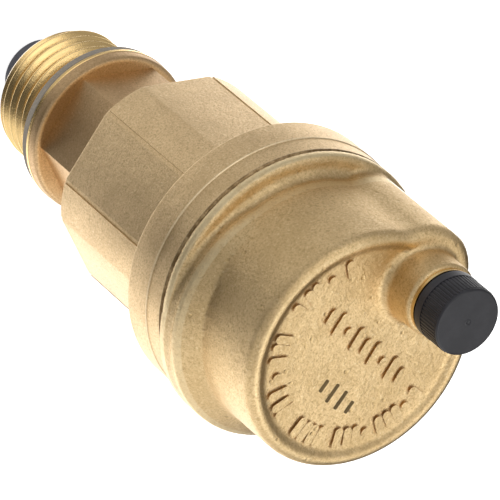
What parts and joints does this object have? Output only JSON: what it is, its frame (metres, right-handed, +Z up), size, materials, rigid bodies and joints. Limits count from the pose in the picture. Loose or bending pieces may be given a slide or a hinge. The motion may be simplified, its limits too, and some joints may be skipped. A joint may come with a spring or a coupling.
{
  "type": "automatic air vent",
  "caption": "Float-operated automatic air vent: brass chamber with an offset vent cap, on an inlet check valve with a male pipe thread.",
  "frame": {"origin": "on the main axis at the sealing plane of the inlet thread, under the gasket", "axes": "+Z up the main axis from the inlet towards the vent cap, +X from the main axis towards the offset vent"},
  "size_m": [0.0421, 0.0412, 0.101],
  "materials": {
    "forged_brass": "dull machined and blasted",
    "cast_brass": "satin cast",
    "machined_brass": "polished",
    "black_plastic": "fine matt",
    "slate_plastic": "moulded satin",
    "fibre": "pressed fibre",
    "seal_rubber": "matt",
    "spring_steel": "drawn wire",
    "float_plastic": "natural moulded"
  },
  "bodies": {
    "housing": {"check_valve_body": "forged_brass", "inlet_gasket": "fibre", "check_valve_guide": "slate_plastic", "check_valve_spring": "spring_steel", "joint_o_ring": "seal_rubber", "body_shell": "forged_brass", "inlet_baffle": "float_plastic", "cover": "cast_brass", "cover_o_ring": "seal_rubber", "vent_nozzle": "machined_brass", "nozzle_o_ring": "seal_rubber", "valve_seat": "seal_rubber", "lever_pin": "spring_steel", "lever_bracket": "spring_steel", "bracket_ring": "spring_steel", "plug_spring": "spring_steel"},
    "check_poppet": {"check_valve_poppet": "slate_plastic", "poppet_seal": "seal_rubber"},
    "float": {"float_body": "float_plastic", "float_lid": "float_plastic", "float_hook": "float_plastic"},
    "lever": {"lever": "float_plastic"},
    "plug": {"valve_plug": "float_plastic", "plug_pad": "seal_rubber"},
    "cap_lifter": {"cap_seal": "seal_rubber"},
    "cap": {"vent_cap": "black_plastic"}
  },
  "joints": [
    {"name": "float_rise", "type": "slide", "parent": "housing", "child": "float", "axis": [0, 0, 1], "range_m": [0, 0.005]},
    {"name": "lever_swing", "type": "hinge", "parent": "housing", "child": "lever", "pos_m": [0.015, 0, 0.0632], "axis": [0, 1, 0], "range_deg": [0, 19.1]},
    {"name": "plug_lift", "type": "slide", "parent": "housing", "child": "plug", "axis": [0, 0, 1], "range_m": [0, 0.001], "deforming": ["plug_spring"]},
    {"name": "poppet_push", "type": "slide", "parent": "housing", "child": "check_poppet", "axis": [0, 0, -1], "range_m": [0, 0.0008], "stiffness_N_per_m": 150, "springref_m": -0.0005, "deforming": ["check_valve_spring"]},
    {"name": "cap_lift", "type": "slide", "parent": "housing", "child": "cap_lifter", "axis": [0, 0, 1], "range_m": [0, 0.002]},
    {"name": "cap_turn", "type": "hinge", "parent": "cap_lifter", "child": "cap", "pos_m": [0.012, 0, 0.078], "axis": [0, 0, 1], "range_deg": [0, 720]}
  ],
  "couplings": [
    {"joint": "lever_swing", "follows": "float_rise", "rad_per_m": 66.667},
    {"joint": "plug_lift", "follows": "float_rise", "ratio": 0.2},
    {"joint": "cap_turn", "follows": "cap_lift", "rad_per_m": 6283.2}
  ]
}
